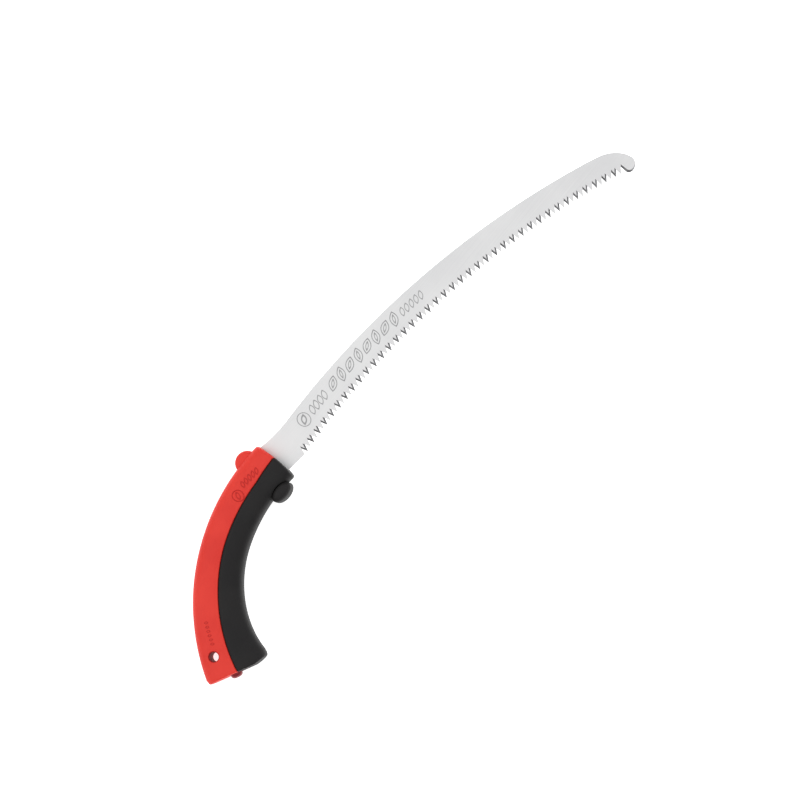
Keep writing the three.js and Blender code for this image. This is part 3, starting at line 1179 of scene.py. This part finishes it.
@dataclass
class Blade:
    """The curved blade with its ground teeth and its etched sprig."""

    paints: Paints
    middle: float = 12.5
    half: float = 0.6
    teeth: ToothRow = ToothRow()
    spine: tuple[float, float, float] = (212.2, -589.4, 667.4)
    nose_middle: Pair = (484.6, 4.6)
    nose_steps: int = 12
    lane_in: float = 9.6
    lane_x: float = 176.0

    def build(self) -> list[Piece]:
        """Makes the blade and its etching.

        Returns:
            The pieces.
        """
        return [self.steel(), self.etching()]

    def spine_y(self, x: float) -> float:
        """Height of the spine in plan at x."""
        cx, cy, r = self.spine
        return cy + math.sqrt(r * r - (x - cx) ** 2)

    def back(self) -> list[Pair]:
        """The smooth edge from the tang's shoulder round the nose to its point."""
        points = bezier((157.6, 79.9), (164, 78.4), (170, 77.4), (182, self.spine_y(182)), 8)
        points += [(x, self.spine_y(x)) for x in range(188, 476, 6)]
        points += bezier((477.5, 22.6), (485.2, 18.1), (489.8, 11.2), (490.4, 4.4), 12)
        points += bezier((490.4, 4.4), (490.4, 0.9), (487.6, -1.4), (484.6, -1.8), 8)[1:]
        points += bezier((484.6, -1.8), (482.4, -2.1), (480.6, -1.4), (479.7, 0.4), 5)[1:]
        return points

    def tang(self) -> list[Pair]:
        """The tang inside the handle, from the heel to the shoulder."""
        return [(174.0, 51.6), (157, 53.5), (156.4, 53.5), (156.4, 54.8), (130, 52.4), (104, 46.8),
                (91, 42.6), (86, 46.5), (84.5, 53.5), (88, 59.5), (104, 66.5), (130, 73),
                (156.4, 75.8), (156.4, 79.9)]

    def outline(self, near: bool) -> list[Pair]:
        """The blade's outline on one face.

        Args:
            near: True for the upper face.

        Returns:
            The closed outline; both faces' points correspond.
        """
        back = self.back()
        if near:
            ground = len(back) - self.nose_steps
            back = [self.ground_nose(i - ground, p) if i > ground else p
                    for i, p in enumerate(back)]
        return back + self.teeth.edge(near)[::-1] + self.tang()

    def ground_nose(self, step: int, point: Pair) -> Pair:
        """A nose point of the upper face, moved in by the bevel that widens to the low corner.

        Args:
            step: the number of points since the bevel's start.
            point: the point on the lower face.

        Returns:
            The point on the upper face.
        """
        dx, dy = self.nose_middle[0] - point[0], self.nose_middle[1] - point[1]
        width = 2.0 * (step / (self.nose_steps - 1)) ** 1.8 / math.hypot(dx, dy)
        return point[0] + dx * width, point[1] + dy * width

    def steel(self) -> Piece:
        """The blade itself."""
        near, far = self.outline(True), self.outline(False)
        shape = plate(near, self.middle - self.half, self.middle + self.half)
        shape.verts.ensure_lookup_table()
        for vert, (x, y) in zip(shape.verts[:len(far)], far):
            below = next(other for edge in vert.link_edges
                         if (other := edge.other_vert(vert)).co.z < self.middle)
            below.co = Vector((x, y, below.co.z))
        self.dress_facets(shape)
        self.break_spine(shape)
        paints = [self.paints[Finish.BLADE], self.paints[Finish.GROUND]]
        piece = finish_piece(shape, "blade_steel_body", paints, 12.0)
        carve(piece, [self.hole_tool(at) for at in Handle.bolts], 12.0)
        return seat(piece, Finish.BLADE, node="saw_blade")

    def dress_facets(self, shape: Shape) -> None:
        """Gives every ground facet on the toothed side the ground finish."""
        shape.faces.ensure_lookup_table()
        for face in shape.faces:
            centre = face.calc_center_median()
            reach = math.hypot(centre.x - self.teeth.centre[0], centre.y - self.teeth.centre[1])
            on_rim = len(face.verts) == 4
            toothed = reach < self.teeth.radius + 6.6 and centre.x > 175
            nose = centre.x > 479 and centre.y < 9
            if on_rim and (toothed or nose):
                face.material_index = 1

    def break_spine(self, shape: Shape) -> None:
        """Takes the sharp corners off the spine."""
        edges = []
        for edge in shape.edges:
            a, b = edge.verts
            flat = abs(a.co.z - b.co.z) < 0.01
            on_spine = min(a.co.x, b.co.x) > 160 and abs(a.co.y - self.spine_y(a.co.x)) < 0.6
            if flat and on_spine and a.co.x < 470 and len(edge.link_faces) == 2:
                edges.append(edge)
        bmesh.ops.bevel(shape, geom=edges, offset=0.22, offset_type="OFFSET", affect="EDGES",
                        segments=2, profile=0.5, material=-1)

    def hole_tool(self, at: Pair) -> Piece:
        """A bolt hole through the tang."""
        shape = turned([(0, 5), (2.9, 5), (2.9, 20), (0, 20)], 40)
        return put_down(shape, at, 0, "hole_tool",
                        self.paints[Finish.GROUND])

    def lane(self, along: float, across: float) -> Pair:
        """A plan point on the blade's flat.

        Args:
            along: arc length from the heel, in millimetres.
            across: distance from the etching's middle line towards the spine.

        Returns:
            The point.
        """
        cx, cy, r = self.spine
        middle = r - self.lane_in
        angle = math.asin((self.lane_x - cx) / middle) + along / middle
        reach = middle + across
        return cx + reach * math.sin(angle), cy + reach * math.cos(angle)

    def etching(self) -> Piece:
        """A generic sprig of outlined leaves etched on the upper face."""
        whole = gather(self.etched(outline, share) for outline, share in self.sprig())
        piece = finish_piece(whole, "blade_etching", [self.paints[Finish.ETCH]])
        return seat(piece, Finish.ETCH)

    def etched(self, outline: Sequence[Pair], open_share: float) -> Shape:
        """One etched outline: a flat ring just proud of the steel, its middle sunk below it.

        Args:
            outline: its outer edge, along and across the etching's middle line.
            open_share: how large its opening is, against its outer edge.

        Returns:
            The closed shape.
        """
        top = self.middle + self.half
        shape = plate([self.lane(x, y) for x, y in outline], top - 0.06, top + 0.015)
        narrow(shape, open_share)
        for vert in narrow(shape, 0.98):
            vert.co.z = top - 0.03
        return shape

    @staticmethod
    def sprig() -> Iterable[tuple[list[Pair], float]]:
        """The outlines of the etched sprig and how large their openings are."""
        yield oval((17, 0), 5.0, 5.6), 0.9
        yield leaf((17, 0), 4.2, 2.2, 0.9), 0.6
        for i in range(4):
            yield leaf((26.4 + 4.6 * i, -0.3), 4.2, 2.1, 1.2), 0.76
        for i in range(8):
            turn = 1.15 if i % 2 else 0.7
            yield leaf((50.5 + 9.2 * i, 0.2), 6.0, 3.2, turn, 10), 0.83
            yield leaf((50.5 + 9.2 * i, 0.2), 3.8, 1.2, turn, 6), 0.6
        for i in range(5):
            yield leaf((123.0 + 4.5 * i, 0), 3.8, 1.8, 1.2), 0.74


# ---- fasteners -----------------------------------------------------------------------------
@dataclass
class BladeBolt:
    """A socket button bolt and its spring washer, entering from the side that faces the floor."""

    paints: Paints
    name: str
    at: Pair
    head_r: float = 4.5
    shank_r: float = 2.45

    def build(self) -> list[Piece]:
        """Makes the bolt and the washer.

        Returns:
            The pieces.
        """
        return [self.bolt(), self.washer()]

    def bolt(self) -> Piece:
        """A domed head with a hexagon socket, and a shank with rings in place of a thread."""
        r, s = self.head_r, self.shank_r
        profile = [(0, 2.15), (2.3, 2.15), (3.3, 2.4), (4.1, 3.0), (r, 3.9), (r, 4.6), (r - 0.2, 4.8),
                   (s, 4.8), (s, 8.0)]
        turns = 15
        for i in range(turns):
            low = 8.0 + 0.84 * i
            profile += [(s, low + 0.15), (s - 0.38, low + 0.42), (s, low + 0.69)]
        profile += [(s - 0.1, 20.8), (s - 0.5, 21.0), (0, 21.0)]
        shape = turned(profile, 36)
        piece = put_down(shape, self.at, 0, f"{self.name}_bolt_body",
                         self.paints[Finish.ZINC])
        carve(piece, [self.socket_tool()])
        return seat(piece, Finish.ZINC, f"{self.name}_bolt", f"{self.name}_blade_bolt")

    def socket_tool(self) -> Piece:
        """The hexagon socket in the head."""
        shape = turned([(0, 1), (1.73, 1), (1.73, 3.9), (0, 4.5)], 6)
        return put_down(shape, self.at, 0, "socket_tool",
                        self.paints[Finish.ZINC])

    def washer(self) -> Piece:
        """A split spring washer: a square wire with one slanted cut."""
        count = 60

        def place(column: int, row: int) -> Vector:
            """Where the grid's crossing goes."""
            corners = ((2.85, 5.1), (4.35, 5.1), (4.35, 6.1), (2.85, 6.1), (2.85, 5.1))
            radius, height = corners[column]
            turn = math.radians(8 + 344 * row / count)
            rise = 0.18 * row / count
            return polar(self.at, radius, turn, height + rise)

        piece = finish_piece(sheet(5, count + 1, place), f"{self.name}_washer_wire",
                             [self.paints[Finish.ZINC]])
        return seat(piece, Finish.ZINC, f"{self.name}_bolt", f"{self.name}_spring_washer")


# ---- studio --------------------------------------------------------------------------------
@dataclass
class Studio:
    """A plain pale floor, soft lights and the camera over the saw."""

    distance: float = 2.0
    lens: float = 124.3
    tilt: float = 7.0
    roll: float = 50.6
    aim: Vector = field(default_factory=lambda: Vector((0.0027, -0.0116, 0.0125)))

    def build(self) -> None:
        """Makes everything."""
        self.colours()
        self.floor()
        self.camera()
        for name, place, size, power in self.lights():
            self.light(name, place, size, power)

    def colours(self) -> None:
        """Plain colour handling and a soft white surround."""
        scene = bpy.context.scene
        scene.view_settings.view_transform = "Standard"
        scene.view_settings.look = "None"
        world = bpy.data.worlds.new("surround")
        world.use_nodes = True
        world.node_tree.nodes["Background"].inputs["Color"].default_value = (1, 1, 1, 1)
        world.node_tree.nodes["Background"].inputs["Strength"].default_value = 0.5
        scene.world = world

    def floor(self) -> None:
        """The pale floor, at the height that the saw lies on."""
        bm = bmesh.new()
        bmesh.ops.create_grid(bm, x_segments=8, y_segments=8, size=6.0)
        mesh = bpy.data.meshes.new("floor")
        bm.to_mesh(mesh)
        bm.free()
        made = bpy.data.objects.new("floor", mesh)
        bpy.context.scene.collection.objects.link(made)
        bench = Bench("studio_floor")
        mist = bench.noise(bench.place(), 1.5, 2.0)
        bench.feed("Base Color", bench.blend(mist, (0.9, 0.9, 0.9, 1), (0.93, 0.93, 0.93, 1)))
        bench.feed("Roughness", 0.9)
        bench.feed("Emission Color", (1, 1, 1, 1))
        bench.feed("Emission Strength", 0.8)
        mesh.materials.append(bench.material)

    @staticmethod
    def lights() -> list[tuple[str, Vector, float, float]]:
        """Each light's name, place, size in metres and power in watts."""
        return [("key", Vector((-0.9, 0.9, 1.7)), 1.6, 13.0),
                ("fill", Vector((1.2, -0.5, 1.4)), 1.6, 8.0),
                ("top", Vector((0.3, 0.1, 2.6)), 2.4, 12.0)]

    def light(self, name: str, place: Vector, size: float, power: float) -> None:
        """One soft square light that faces the saw.

        Args:
            name: its name.
            place: where it stands.
            size: its side.
            power: its power.
        """
        data = bpy.data.lights.new(name, "AREA")
        data.size = size
        data.energy = power
        made = bpy.data.objects.new(name, data)
        made.location = place
        made.rotation_mode = "QUATERNION"
        made.rotation_quaternion = (self.aim - place).to_track_quat("-Z", "Y")
        bpy.context.scene.collection.objects.link(made)

    def camera(self) -> None:
        """The camera, which looks down on the saw from a little to the toothed side."""
        data = bpy.data.cameras.new("camera")
        data.lens = self.lens
        data.sensor_width = 36
        made = bpy.data.objects.new("camera", data)
        tilt, roll = math.radians(self.tilt), math.radians(self.roll)
        back = Vector((0, -math.sin(tilt), math.cos(tilt)))
        level = Vector((1, 0, 0))
        upright = back.cross(level)
        right = level * math.cos(roll) - upright * math.sin(roll)
        up = level * math.sin(roll) + upright * math.cos(roll)
        turn = Matrix((right, up, back)).transposed()
        made.matrix_world = Matrix.Translation(self.aim + back * self.distance) @ turn.to_4x4()
        bpy.context.scene.collection.objects.link(made)
        bpy.context.scene.camera = made


# ---- assembly ------------------------------------------------------------------------------
def dress_kept_nodes(paints: Paints) -> None:
    """Gives the CAD pieces that stay their finishes; the core shells take the paler nylon copy, which
    is painted light.
    """
    core = ("near_core_shell", "far_core_shell")
    for name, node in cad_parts.items():
        if node.hide_render:
            continue
        paint = paints[Finish.CORE_PAINTED_LIGHT if name in core else Finish.ZINC]
        for slot in node.material_slots:
            slot.material = paint


def main() -> None:
    """Builds the saw and the studio, and reports every piece."""
    logging.basicConfig(level=logging.INFO, format="%(message)s")
    paints = Paints()
    front, rear = Handle.bolts
    makers = [Handle(paints), Blade(paints), BladeBolt(paints, "front", front),
              BladeBolt(paints, "rear", rear)]
    for maker in makers:
        for piece in maker.build():
            log.info("%s: %d faces", piece.name, len(piece.data.polygons))
    dress_kept_nodes(paints)
    Studio().build()


if __name__ == "__main__":
    main()
